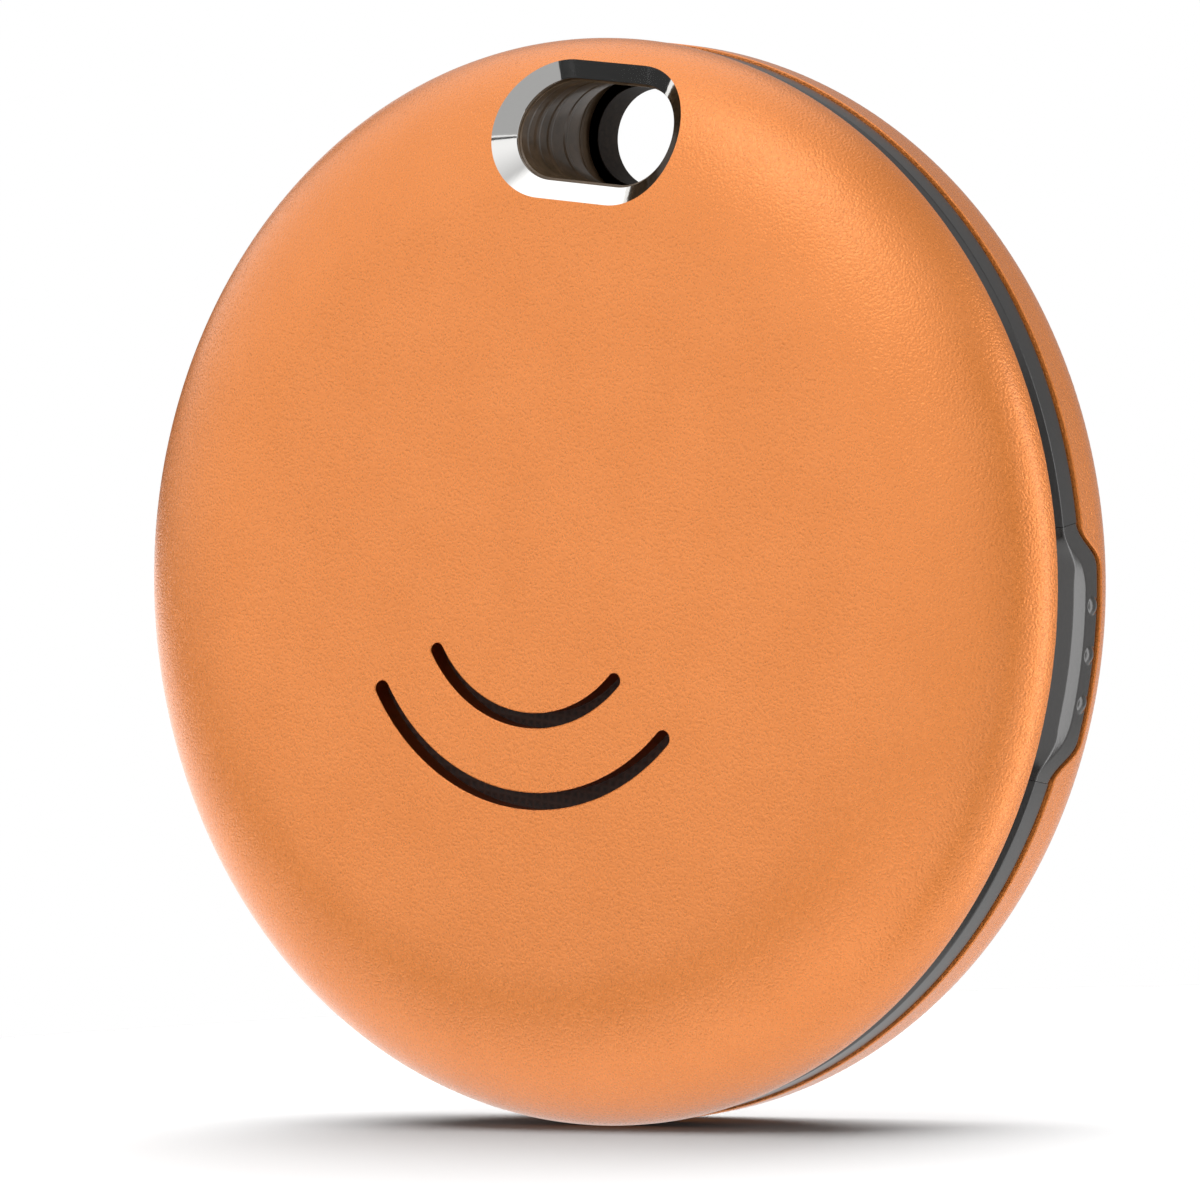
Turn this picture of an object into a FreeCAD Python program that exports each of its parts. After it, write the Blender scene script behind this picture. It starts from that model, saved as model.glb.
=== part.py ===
"""Bluetooth tracker tag: a round aluminium finder tag that hangs from a key ring.

Frame: the disc's axis lies along Y, its front face looks along -Y, the side button is at +X and
the key hole is at +Z. The origin is the centre of the disc. All sizes are in millimetres.
The case grows outwards from the coin cell: its width from the cell's diameter and the walls and
gaps beside it, its thickness from the stack of pieces between its two shells.
"""
import FreeCAD, Part
import math
import os

Vector = FreeCAD.Vector
AXIS = Vector(0, 1, 0)
ALONG_X = Vector(1, 0, 0)

# ---------------------------------------------------------------- clearances
seam = 0.05           # visible joint lines between shells, band and button
close_gap = 0.02      # pieces that seat against each other
side_gap = 0.2        # liner and adhesive inside the back shell
free_gap = 0.07       # coin cell to back liner
stem_play = 0.05      # running fit of the button stem and the switch plunger
button_gap = 0.1      # all round the side button
cell_play = 0.15      # coin cell in its pocket
board_play = 0.15     # circuit board in the chassis

# ---------------------------------------------------------------- coin cell
cell_diameter = 20.0
cell_height = 2.5
cell_drop = 1.5
can_wall = 0.25
cap_step = 0.2
cap_inset = 1.2
crimp_inset = 0.5

# ---------------------------------------------------------------- case walls
shell_wall = 0.6
chassis_wall = 0.6
chassis_floor = 0.35
pocket_wall = 0.6
pocket_clear = 0.95
pocket_setback = 0.4
rim_gap = 0.6
wall_setback = 0.9
gasket_height = 0.22
gasket_width = 0.4

# front shell: a flat face that rolls over to the rim in a quarter ellipse
front_dome_width = 4.6
front_shell_depth = 2.6

# back shell: a shallow cup with a small rounded edge
back_round_width = 0.7
back_round_depth = 1.15
back_inner_round = 0.3
back_hole_chamfer = 0.25

# dark band between the two shells
band_width = 1.35
band_recess = 0.08
band_chamfer = 0.5
band_rear_chamfer = 0.08

# ---------------------------------------------------------------- key hole
key_hole_offset = 2.64
key_hole_straight = 2.25
key_hole_width = 2.84
key_hole_chamfer = 0.5
sleeve_lip = 0.07
sleeve_wall = 0.48
sleeve_step = 0.08
sleeve_step_depth = 0.8
pry_notch_depth = 0.35
pry_notch_length = 0.95

# ---------------------------------------------------------------- sound slots
outer_slot_radius = 5.94
outer_slot_width = 0.47
inner_slot_radius = 3.74
inner_slot_width = 0.42
slot_half_angle = 53.0

# ---------------------------------------------------------------- side button
button_length = 6.9
button_rear_length = 4.5
button_overhang = 0.95
button_taper = 0.2
button_curve = 0.55
bevel_rise = 0.23
bevel_width = 0.5
button_travel = 0.25
cap_skirt = 0.1
cap_rear_chamfer = 0.15
bump_diameter = 0.56
bump_height = 0.08
bump_pitch = 1.31
bump_count = 3
stem_diameter = 1.2
stem_embed = 0.3
collar_rise = 0.2
collar_width = 0.2
collar_setback = 0.15
stem_nose = 0.05

# ---------------------------------------------------------------- side switch
switch_length = 3.0
switch_height = 2.2
switch_depth = 1.6
switch_play = 0.12
plunger_diameter = 0.6
plunger_reach = 0.3
plunger_drop = 0.55
plunger_bore = 0.7

# ---------------------------------------------------------------- circuit board and what is on it
board_thickness = 0.5
screw_diameter = 1.0
screw_head_diameter = 1.7
screw_head_height = 0.3
screw_length = 1.7
screw_inset = 1.25
screw_angles = (20.5, 159.5, 227.0)
boss_wall = 0.7
contact_rise = 0.35
leaf = 0.15
clip_width = 3.0
clip_foot = 1.5
arm_width = 2.4
arm_half = 4.2
arm_pad = 1.0
arm_foot = 1.4
window_play = 0.2

# ---------------------------------------------------------------- sounder and its mesh
sounder_diameter = 13.7
brass_thickness = 0.1
ceramic_diameter = 9.0
ceramic_thickness = 0.12
holder_wall = 0.4
holder_seat = 0.65
foam_height = 0.25
foam_width = 0.8
mesh_thickness = 0.1
spring_leaf_thickness = 0.08
spring_leaf_width = 0.7
spring_leaf_rise = 0.8
spring_leaf_pad = 0.4

# ---------------------------------------------------------------- back liner
liner_thickness = 0.3
liner_skirt = 0.3
adhesive_thickness = 0.08
adhesive_setback = 0.6

# ---------------------------------------------------------------- case size, from the cell outwards
pocket_round = cell_diameter / 2 + cell_play
wall_inner = pocket_round + pocket_wall + cell_drop + pocket_clear
wall_outer = wall_inner + chassis_wall
inner_rim = wall_outer + rim_gap
rim = inner_rim + shell_wall
sounder_stack = mesh_thickness + foam_height + brass_thickness + contact_rise
cell_stack = board_thickness + chassis_floor + cell_height + free_gap
inside_height = sounder_stack + cell_stack + liner_thickness + adhesive_thickness
front_face = -(inside_height / 2 + shell_wall)
back_face = -front_face

# ---------------------------------------------------------------- levels along Y, front to back
front_inside = front_face + shell_wall
front_edge = front_face + front_shell_depth
band_front = front_edge + seam
band_rear = front_edge + band_width
back_edge = band_rear + seam
mesh_rear = front_inside + mesh_thickness
foam_rear = mesh_rear + foam_height
brass_rear = foam_rear + brass_thickness
ceramic_rear = brass_rear + ceramic_thickness
board_front = brass_rear + contact_rise
board_rear = board_front + board_thickness
cell_front = board_rear + chassis_floor
cell_rear = cell_front + cell_height
liner_front = cell_rear + free_gap
liner_rear = liner_front + liner_thickness
back_inside = back_face - shell_wall
gasket_rear = liner_front - close_gap
wall_rear = gasket_rear - gasket_height
wall_front = front_edge - wall_setback

# ---------------------------------------------------------------- places across the disc
flat_radius = rim - front_dome_width
back_flat = rim - back_round_width
inner_flat = inner_rim - back_inner_round
round_start = back_face - back_round_depth
hole_z = rim - key_hole_offset
hole_half = key_hole_straight / 2
hole_round = key_hole_width / 2
sleeve_bore = hole_round - sleeve_lip
sleeve_outer = sleeve_bore + sleeve_wall
cell_radius = cell_diameter / 2
plate_radius = sounder_diameter / 2
foam_outer = plate_radius + holder_wall
board_radius = wall_inner - board_play
parts_circle = (foam_outer + board_radius) / 2
screw_circle = wall_inner - screw_inset
stem_y = board_rear + switch_height - plunger_drop
collar_x = wall_inner - collar_setback
stem_end = collar_x - collar_width - stem_nose
switch_face = stem_end - plunger_reach
switch_back = switch_face - switch_depth


# ---------------------------------------------------------------- shape helpers
def cylinder(radius, y0, y1, x=0.0, z=0.0):
    """A round bar along Y from y0 to y1."""
    return Part.makeCylinder(radius, y1 - y0, Vector(x, y0, z), AXIS)


def bar_along_x(radius, x0, x1):
    """A round bar along X through the middle of the button's stem."""
    return Part.makeCylinder(radius, x1 - x0, Vector(x0, stem_y, 0), ALONG_X)


def ring(outer, inner, y0, y1, x=0.0, z=0.0):
    """A tube along Y."""
    return cylinder(outer, y0, y1, x, z).cut(cylinder(inner, y0 - 1, y1 + 1, x, z))


def block(x0, x1, y0, y1, z0, z1):
    """A box given by its lowest and highest corners."""
    return Part.makeBox(x1 - x0, y1 - y0, z1 - z0, Vector(x0, y0, z0))


def lines(points):
    """Straight edges through (radius, y) points, left open."""
    ends = [Vector(r, y, 0) for r, y in points]
    return [Part.LineSegment(a, b).toShape() for a, b in zip(ends, ends[1:])]


def turned(edges):
    """A closed section in the XY plane turned once about the disc's axis."""
    return Part.Face(Part.Wire(edges)).revolve(Vector(0, 0, 0), AXIS, 360)


def turned_polygon(points):
    """A section with straight sides turned about the disc's axis."""
    return turned(lines(list(points) + [points[0]]))


def strip(points, z0, z1):
    """A section with straight sides, drawn in (x, y), carried along Z."""
    corners = [Vector(x, y, z0) for x, y in points]
    wire = Part.makePolygon(corners + [corners[0]])
    return Part.Face(wire).extrude(Vector(0, 0, z1 - z0))


def quarter_ellipse(centre_r, centre_y, width, depth, side):
    """The edge from (centre_r, centre_y + side * depth) round to (centre_r + width, centre_y)."""
    centre = Vector(centre_r, centre_y, 0)
    tip_r = Vector(centre_r + width, centre_y, 0)
    tip_y = Vector(centre_r, centre_y + side * depth, 0)
    if width >= depth:
        curve = Part.Ellipse(tip_r, tip_y, centre)
    else:
        curve = Part.Ellipse(tip_y, tip_r, centre)
    first = curve.parameter(tip_y)
    last = curve.parameter(tip_r)
    span = (last - first) % (2 * math.pi)
    if span > math.pi:
        return curve.toShape(last, last + 2 * math.pi - span)
    return curve.toShape(first, first + span)


def domed(radius, flat, face_y, edge_y):
    """A solid of revolution: flat face, quarter ellipse, and a plane at its open edge."""
    side = 1 if face_y > edge_y else -1
    edges = lines([(radius, edge_y), (0, edge_y), (0, face_y), (flat, face_y)])
    edges.append(quarter_ellipse(flat, edge_y, radius - flat, abs(face_y - edge_y), side))
    return turned(edges)


def stadium(round_radius, y0, y1):
    """A bar along Y at the key hole, whose section is a slot with round ends."""
    a, b = hole_half, round_radius
    top = Part.LineSegment(Vector(-a, y0, hole_z + b), Vector(a, y0, hole_z + b))
    right = Part.Arc(Vector(a, y0, hole_z + b), Vector(a + b, y0, hole_z), Vector(a, y0, hole_z - b))
    foot = Part.LineSegment(Vector(a, y0, hole_z - b), Vector(-a, y0, hole_z - b))
    left = Part.Arc(Vector(-a, y0, hole_z - b), Vector(-a - b, y0, hole_z), Vector(-a, y0, hole_z + b))
    wire = Part.Wire([edge.toShape() for edge in (top, right, foot, left)])
    return Part.Face(wire).extrude(Vector(0, y1 - y0, 0))


def through_hole(round_radius):
    """The key hole's slot, right through the tag."""
    return stadium(round_radius, front_face - 1, back_face + 1)


def polar(radius, degrees):
    """x and z of a point on a circle about the disc's axis, from +X towards +Z."""
    angle = math.radians(degrees)
    return radius * math.cos(angle), radius * math.sin(angle)


def arc_slot(radius, width, y0, y1):
    """A bar along Y whose section is a bent slot with round ends, open upwards."""
    def point(r, degrees):
        x, z = polar(r, degrees)
        return Vector(x, y0, z)
    r0, r1 = radius - width / 2, radius + width / 2
    start, end = -90 - slot_half_angle, -90 + slot_half_angle
    tip = math.degrees(width / 2 / radius)
    edges = [Part.Arc(point(r1, start), point(r1, -90), point(r1, end)),
             Part.Arc(point(r1, end), point(radius, end + tip), point(r0, end)),
             Part.Arc(point(r0, end), point(r0, -90), point(r0, start)),
             Part.Arc(point(r0, start), point(radius, start - tip), point(r1, start))]
    wire = Part.Wire([edge.toShape() for edge in edges])
    return Part.Face(wire).extrude(Vector(0, y1 - y0, 0))


def button_bar(gap):
    """The button's outline, grown by a gap and carried along X: S-curved ends, narrow at the rear."""
    x = wall_inner
    wide = button_length / 2 + gap
    narrow = button_rear_length / 2 + gap
    front = band_front + seam - gap
    rear = band_rear + button_overhang + gap
    foot = wide - button_taper

    def side_curve(side):
        poles = [(wide, band_rear), (wide - button_curve, band_rear + button_gap),
                 (narrow + button_curve, rear), (narrow, rear)]
        curve = Part.BezierCurve()
        curve.setPoles([Vector(x, y, side * z) for z, y in poles])
        return curve.toShape()

    def line(z0, y0, z1, y1):
        return Part.LineSegment(Vector(x, y0, z0), Vector(x, y1, z1)).toShape()

    edges = [line(-foot, front, foot, front), line(foot, front, wide, band_rear), side_curve(1),
             line(narrow, rear, -narrow, rear), side_curve(-1), line(-wide, band_rear, -foot, front)]
    wire = Part.Wire(Part.__sortEdges__(edges))
    return Part.Face(wire).extrude(Vector(rim + 1 - x, 0, 0))


def inside_space():
    """Everything inside the two shells, kept a close gap away from them."""
    front = domed(inner_rim - close_gap, flat_radius, front_inside + close_gap, front_edge)
    middle = cylinder(inner_rim - close_gap, front_edge, back_inside - close_gap)
    return front.fuse(middle)


def outer_height(r):
    """y of the front shell's outer surface at a radius."""
    share = max(0.0, (r - flat_radius) / front_dome_width)
    return front_edge - front_shell_depth * math.sqrt(max(0.0, 1 - share * share))


def back_height(r):
    """y of the back shell's flat face, the same at every radius that the key hole reaches."""
    return back_face


def hole_rim_edges(shell, height):
    """The edges where the key hole's wall meets a surface whose y at each radius is height(r)."""
    found = []
    for edge in shell.Edges:
        middle = edge.valueAt((edge.FirstParameter + edge.LastParameter) / 2)
        past_end = max(abs(middle.x) - hole_half, 0)
        on_wall = abs(math.hypot(past_end, middle.z - hole_z) - hole_round) < 0.01
        if on_wall and abs(middle.y - height(math.hypot(middle.x, middle.z))) < 0.01:
            found.append(edge)
    return found


def save(name, shape):
    """Write one sub-part as a STEP file, after joining its split faces."""
    solids = shape.Solids
    clean = shape.removeSplitter().Solids[0] if len(solids) == 1 else Part.makeCompound(solids)
    clean.exportStep(os.path.join("parts", name + ".step"))


os.makedirs("parts", exist_ok=True)

# ---------------------------------------------------------------- front shell
front_shell = domed(rim, flat_radius, front_face, front_edge)
front_shell = front_shell.cut(domed(inner_rim, flat_radius, front_inside, front_edge))
front_shell = front_shell.cut(through_hole(hole_round))
front_shell = front_shell.makeChamfer(key_hole_chamfer, hole_rim_edges(front_shell, outer_height))
for slot_radius, slot_width in ((outer_slot_radius, outer_slot_width),
                                (inner_slot_radius, inner_slot_width)):
    front_shell = front_shell.cut(arc_slot(slot_radius, slot_width, front_face - 1, mesh_rear))
save("front_shell", front_shell)

# ---------------------------------------------------------------- back shell with its button notch
cup_outer = domed(rim, back_flat, back_face, round_start).fuse(cylinder(rim, back_edge, round_start))
cup_inner = domed(inner_rim, inner_flat, back_inside, round_start)
cup_inner = cup_inner.fuse(cylinder(inner_rim, back_edge, round_start))
back_shell = cup_outer.cut(cup_inner).cut(through_hole(hole_round)).removeSplitter()
back_shell = back_shell.makeChamfer(back_hole_chamfer, hole_rim_edges(back_shell, back_height))
back_shell = back_shell.cut(button_bar(button_gap))
save("back_shell", back_shell)

# ---------------------------------------------------------------- back liner and its adhesive
liner_outer = inner_rim - side_gap
liner = cylinder(liner_outer, back_edge + seam, liner_rear)
liner = liner.cut(cylinder(liner_outer - liner_skirt, back_edge, liner_front))
liner = liner.cut(through_hole(hole_round)).cut(button_bar(button_gap))
liner = liner.cut(stadium(sleeve_outer + button_gap, back_edge, liner_front))
save("back_liner", liner)

back_adhesive = cylinder(inner_flat - adhesive_setback, liner_rear, back_inside)
back_adhesive = back_adhesive.cut(through_hole(hole_round + 2 * side_gap))
save("back_adhesive", back_adhesive)

# ---------------------------------------------------------------- side band with its button gap
band_outer = rim - band_recess
band = turned_polygon([(wall_outer + close_gap, band_front),
                       (band_outer - band_chamfer, band_front),
                       (band_outer, band_front + band_chamfer),
                       (band_outer, band_rear - band_rear_chamfer),
                       (band_outer - band_rear_chamfer, band_rear),
                       (wall_outer + close_gap, band_rear)])
band = band.cut(through_hole(sleeve_outer + close_gap)).cut(button_bar(button_gap))
save("side_band", band)

# ---------------------------------------------------------------- side button cap and its stem
cap_deep = wall_outer + seam
cap_front = band_front + seam
cap_rear = band_rear + button_overhang
bevel_start = band_outer - bevel_rise
bevel_front = cap_front + (bevel_start - cap_deep - cap_skirt)
bevel_rear = bevel_front + bevel_width
button = turned_polygon([(cap_deep, cap_front),
                         (cap_deep + cap_skirt, cap_front),
                         (bevel_start, bevel_front),
                         (band_outer, bevel_rear),
                         (band_outer, cap_rear - cap_rear_chamfer),
                         (band_outer - cap_rear_chamfer, cap_rear),
                         (cap_deep, cap_rear)])
button = button.common(button_bar(0))
bump_y = (bevel_rear + cap_rear) / 2
ball_radius = (bump_diameter ** 2 / 4 + bump_height ** 2) / (2 * bump_height)
for index in range(bump_count):
    bump_z = (index - (bump_count - 1) / 2) * bump_pitch
    surface_x = math.sqrt(band_outer ** 2 - bump_z ** 2)
    ball = Part.makeSphere(ball_radius, Vector(surface_x + bump_height - ball_radius, bump_y, bump_z))
    outside = block(surface_x - bump_height, rim + 1, bump_y - 1, bump_y + 1, bump_z - 1, bump_z + 1)
    button = button.fuse(ball.common(outside))
button_stem = bar_along_x(stem_diameter / 2, stem_end, cap_deep + stem_embed)
collar = bar_along_x(stem_diameter / 2 + collar_rise, collar_x - collar_width, collar_x)
button_stem = button_stem.fuse(collar)
save("side_button", button.cut(button_stem))
save("button_stem", button_stem)

# ---------------------------------------------------------------- key hole sleeve
sleeve = through_hole(sleeve_outer).common(inside_space())
sleeve = sleeve.cut(block(-rim, rim, wall_rear, back_face + 1, 0, rim + 1))
sleeve = sleeve.cut(through_hole(sleeve_bore))
step_start = front_inside + sleeve_step_depth
sleeve = sleeve.cut(stadium(sleeve_bore + sleeve_step, step_start, back_face))
notch = stadium(sleeve_bore + pry_notch_depth, wall_rear - pry_notch_length, back_face)
notch = notch.common(block(-rim, -hole_half, front_face, back_face, 0, rim))
save("key_sleeve", sleeve.cut(notch))

# ---------------------------------------------------------------- chassis
pocket_rear = cell_rear - pocket_setback
screw_places = [polar(screw_circle, angle) for angle in screw_angles]
screw_end = board_front + screw_length
chassis = ring(wall_outer, wall_inner, wall_front, wall_rear)
chassis = chassis.fuse(cylinder(wall_inner + chassis_wall / 2, board_rear, cell_front))
chassis = chassis.fuse(ring(pocket_round + pocket_wall, pocket_round, board_rear, pocket_rear, 0, -cell_drop))
for x, z in screw_places:
    chassis = chassis.fuse(cylinder(screw_diameter / 2 + boss_wall, board_rear, screw_end + side_gap, x, z))
chassis = chassis.cut(cylinder(pocket_round, cell_front, back_face, 0, -cell_drop))
for x, z in screw_places:
    chassis = chassis.cut(cylinder(screw_diameter / 2 + close_gap, board_rear - 1, screw_end + seam, x, z))
switch_half = switch_length / 2 + switch_play
switch_top = board_rear + switch_height + switch_play
chassis = chassis.cut(block(switch_back - switch_play, collar_x + seam, board_rear - 1, switch_top,
                            -switch_half, switch_half))
chassis = chassis.cut(bar_along_x(stem_diameter / 2 + stem_play, collar_x, rim))
cap_pocket = button_bar(button_gap)
cap_pocket = cap_pocket.cut(cylinder(cap_deep - button_travel - button_gap, front_face, back_face))
chassis = chassis.cut(cap_pocket)
arm_window = arm_width / 2 + window_play
clip_window = clip_width / 2 + window_play
chassis = chassis.cut(block(-arm_half - window_play, arm_half + window_play, board_rear - 1, cell_front + 1,
                            -cell_drop - arm_window, -cell_drop + arm_window))
clip_x = -cell_radius - close_gap
chassis = chassis.cut(block(clip_x - clip_foot - window_play, clip_x + window_play, board_rear - 1, back_face,
                            -cell_drop - clip_window, -cell_drop + clip_window))
save("chassis", chassis.cut(through_hole(sleeve_outer + close_gap)))

# ---------------------------------------------------------------- gasket and front adhesive
gasket_middle = (wall_outer + wall_inner) / 2
back_gasket = ring(gasket_middle + gasket_width / 2, gasket_middle - gasket_width / 2, wall_rear, gasket_rear)
back_gasket = back_gasket.cut(through_hole(sleeve_outer + close_gap))
save("back_gasket", back_gasket.cut(cap_pocket))

front_adhesive = ring(wall_outer - seam, wall_inner + seam, front_face, wall_front).common(inside_space())
save("front_adhesive", front_adhesive.cut(through_hole(sleeve_outer + close_gap)))

# ---------------------------------------------------------------- circuit board and its screws
board = cylinder(board_radius, board_front, board_rear).cut(through_hole(sleeve_outer + board_play))
for x, z in screw_places:
    board = board.cut(cylinder(screw_diameter / 2 + board_play, front_face, back_face, x, z))
save("circuit_board", board)


def screw(x, z):
    """A pan-head screw with a cross recess, its head on the board's front."""
    arm, half = screw_head_diameter / 3, screw_diameter / 10
    recess = board_front - screw_head_height / 2
    body = cylinder(screw_head_diameter / 2, board_front - screw_head_height, board_front, x, z)
    body = body.fuse(cylinder(screw_diameter / 2, board_front - seam, screw_end, x, z))
    body = body.cut(block(x - arm, x + arm, board_front - 1, recess, z - half, z + half))
    return body.cut(block(x - half, x + half, board_front - 1, recess, z - arm, z + arm))


save("board_screws", Part.makeCompound([screw(x, z) for x, z in screw_places]))


def chip(width, length, height, degrees, outwards=0.0):
    """A flat component on the board's front, its length along the rim."""
    radius = parts_circle + outwards
    shape = block(radius - width / 2, radius + width / 2, board_front - height, board_front,
                  -length / 2, length / 2)
    shape.rotate(Vector(0, 0, 0), AXIS, -degrees)
    return shape


save("bluetooth_chip", chip(3.6, 3.6, 0.5, 200))
save("crystal", chip(1.6, 2.0, 0.45, 174))
save("chip_antenna", chip(1.2, 5.0, 0.4, 262, outwards=0.6))
save("boost_inductor", chip(2.4, 2.8, 0.5, 318))
passive_angles = (182, 187, 213, 218, 241, 285, 294, 302, 334, 343)
save("chip_passives", Part.makeCompound([chip(1.0, 0.5, 0.35, angle) for angle in passive_angles]))

# ---------------------------------------------------------------- side switch and its plunger
bore_end = switch_face - plunger_bore
switch = block(switch_back, switch_face, board_rear, board_rear + switch_height,
               -switch_length / 2, switch_length / 2)
save("side_switch", switch.cut(bar_along_x(plunger_diameter / 2 + stem_play, bore_end, rim)))
plunger_back = bore_end + button_travel + seam
save("switch_plunger", bar_along_x(plunger_diameter / 2, plunger_back, stem_end - close_gap))

# ---------------------------------------------------------------- battery contacts
tip = cell_front - close_gap
bend = arm_half - arm_pad
arm = [(-arm_half, tip - leaf), (-bend, tip - leaf), (-arm_foot, board_rear), (arm_foot, board_rear),
       (bend, tip - leaf), (arm_half, tip - leaf), (arm_half, tip), (bend, tip),
       (arm_foot, board_rear + leaf), (-arm_foot, board_rear + leaf), (-bend, tip), (-arm_half, tip)]
save("battery_negative_contact", strip(arm, -cell_drop - arm_width / 2, -cell_drop + arm_width / 2))
clip_top = cell_rear - cell_height / 4
clip = [(clip_x, board_rear), (clip_x, clip_top), (clip_x - leaf, clip_top),
        (clip_x - leaf, board_rear + leaf), (clip_x - clip_foot, board_rear + leaf),
        (clip_x - clip_foot, board_rear)]
save("battery_positive_contact", strip(clip, -cell_drop - clip_width / 2, -cell_drop + clip_width / 2))


# ---------------------------------------------------------------- coin cell
def cell_turned(points):
    """A section turned about the coin cell's own axis."""
    shape = turned_polygon(points)
    shape.translate(Vector(0, 0, -cell_drop))
    return shape


can_front = cell_front + cap_step
can_bore = cell_radius - can_wall
crimp_radius = cell_radius - crimp_inset
cap_radius = cell_radius - cap_inset
seal_rear = cell_rear - 2 * can_wall
save("coin_cell_can", cell_turned([(0, cell_rear), (cell_radius, cell_rear),
                                   (cell_radius, can_front + cap_step), (crimp_radius, can_front),
                                   (crimp_radius, can_front + can_wall), (can_bore, can_front + 2 * cap_step),
                                   (can_bore, cell_rear - can_wall), (0, cell_rear - can_wall)]))
cap_inner = cap_radius - can_wall
cap_end = seal_rear - can_wall
save("coin_cell_cap", cell_turned([(0, cell_front), (cap_radius - 2 * can_wall, cell_front),
                                   (cap_radius, cell_front + 2 * cap_step), (cap_radius, cap_end),
                                   (cap_inner, cap_end), (cap_inner, cell_front + 2 * can_wall + cap_step),
                                   (cap_inner - 2 * can_wall, cell_front + can_wall),
                                   (0, cell_front + can_wall)]))
save("coin_cell_seal", ring(crimp_radius - close_gap, cap_radius + close_gap, can_front, seal_rear,
                            0, -cell_drop))
save("coin_cell_core", cylinder(cap_inner - 2 * can_wall - close_gap, cell_front + can_wall + close_gap,
                                cell_rear - can_wall - close_gap, 0, -cell_drop))

# ---------------------------------------------------------------- sounder, its holder, foam and mesh
save("sounder_plate", cylinder(plate_radius, foam_rear, brass_rear))
save("sounder_ceramic", cylinder(ceramic_diameter / 2, brass_rear, ceramic_rear))
holder = ring(foam_outer, plate_radius - holder_seat, brass_rear, board_front)
save("sounder_holder", holder.fuse(ring(foam_outer, plate_radius + seam, foam_rear, brass_rear + seam)))
save("sounder_foam", ring(foam_outer, foam_outer - foam_width, mesh_rear, foam_rear))
save("slot_mesh", cylinder(foam_outer, front_inside, mesh_rear))


def sounder_leaf(x, reach):
    """A bent contact leaf that stands on the board and reaches the sounder at y = reach."""
    top, foot, thick = reach + close_gap, board_front, spring_leaf_thickness
    rise, pad = spring_leaf_rise, spring_leaf_pad
    points = [(x - rise, foot - thick), (x, foot - thick), (x + rise, top), (x + rise + pad, top),
              (x + rise + pad, top + thick), (x + rise + thick / 2, top + thick),
              (x + thick / 2, foot), (x - rise, foot)]
    return strip(points, -spring_leaf_width / 2, spring_leaf_width / 2)


plate_edge_middle = (ceramic_diameter + sounder_diameter) / 4
leaf_outwards = plate_edge_middle - spring_leaf_rise - spring_leaf_pad / 2
leaves = [sounder_leaf(0.0, ceramic_rear), sounder_leaf(leaf_outwards, brass_rear)]
save("sounder_contacts", Part.makeCompound(leaves))
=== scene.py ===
import bpy
import numpy as np
from mathutils import Matrix, Vector
from mathutils.geometry import delaunay_2d_cdt


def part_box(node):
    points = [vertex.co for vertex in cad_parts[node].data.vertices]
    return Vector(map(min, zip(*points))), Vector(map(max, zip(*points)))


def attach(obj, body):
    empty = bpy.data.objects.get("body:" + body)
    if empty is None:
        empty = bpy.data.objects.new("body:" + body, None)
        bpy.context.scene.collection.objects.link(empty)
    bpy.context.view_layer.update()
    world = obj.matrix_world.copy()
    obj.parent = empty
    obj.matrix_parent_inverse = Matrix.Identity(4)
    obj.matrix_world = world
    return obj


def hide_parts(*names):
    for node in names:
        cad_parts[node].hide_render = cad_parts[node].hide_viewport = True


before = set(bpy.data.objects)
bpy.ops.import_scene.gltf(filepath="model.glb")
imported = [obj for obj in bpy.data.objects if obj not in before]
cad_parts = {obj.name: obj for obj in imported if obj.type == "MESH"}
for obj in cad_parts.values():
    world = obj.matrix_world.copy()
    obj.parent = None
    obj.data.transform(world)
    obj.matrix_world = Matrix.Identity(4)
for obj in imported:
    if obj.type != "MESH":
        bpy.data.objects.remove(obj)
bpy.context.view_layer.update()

# ---------------------------------------------------------------- front shell
# The face of the tag is a shallow cup of aluminium, flat in the middle and rolled over to the rim
# in a quarter ellipse. It is bead blasted and dyed orange in the anodising bath. The edge of the
# key hole is cut afterwards with a diamond tool, which leaves a bright bare chamfer.
face_y, face_edge = (1000 * corner.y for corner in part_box("front_shell"))
face_rim = 1000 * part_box("front_shell")[1].x
face_wall = 0.6
face_flat = 10.4
key_half, key_z, key_radius, key_chamfer = 1.125, 12.36, 1.42, 0.5
slot_sizes = ((5.94, 0.47), (3.74, 0.42))
edge_break = 0.03
rim_share, ring_share = 0.9985, 0.994
key_margin, hole_margin = 0.1, 0.12
key_foot_gap = 0.02


def to_linear(code):
    """Linear colour with alpha from an sRGB hex code, by the sRGB curve."""
    parts = np.array([int(code[i:i + 2], 16) for i in (1, 3, 5)]) / 255
    curve = np.where(parts <= 0.04045, parts / 12.92, ((parts + 0.055) / 1.055) ** 2.4)
    return (*curve.tolist(), 1.0)


def add_node(owner, kind, settings=None, links=None):
    """Adds one node to a material or world, with its settings and its links by input."""
    node = owner.node_tree.nodes.new(kind)
    for key, value in (settings or {}).items():
        if isinstance(key, int) or key in node.inputs:
            node.inputs[key].default_value = value
        else:
            setattr(node, key, value)
    for key, source in (links or {}).items():
        owner.node_tree.links.new(source, node.inputs[key])
    return node


def new_finish(name, colour, metallic, roughness):
    """A material with its shader's constants set, and its Object coordinates."""
    finish = bpy.data.materials.new(name)
    finish.use_nodes = True
    shader = finish.node_tree.nodes["Principled BSDF"]
    shader.inputs["Base Color"].default_value = to_linear(colour)
    shader.inputs["Metallic"].default_value = metallic
    shader.inputs["Roughness"].default_value = roughness
    place = add_node(finish, "ShaderNodeTexCoord").outputs["Object"]
    return finish, shader, place


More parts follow.
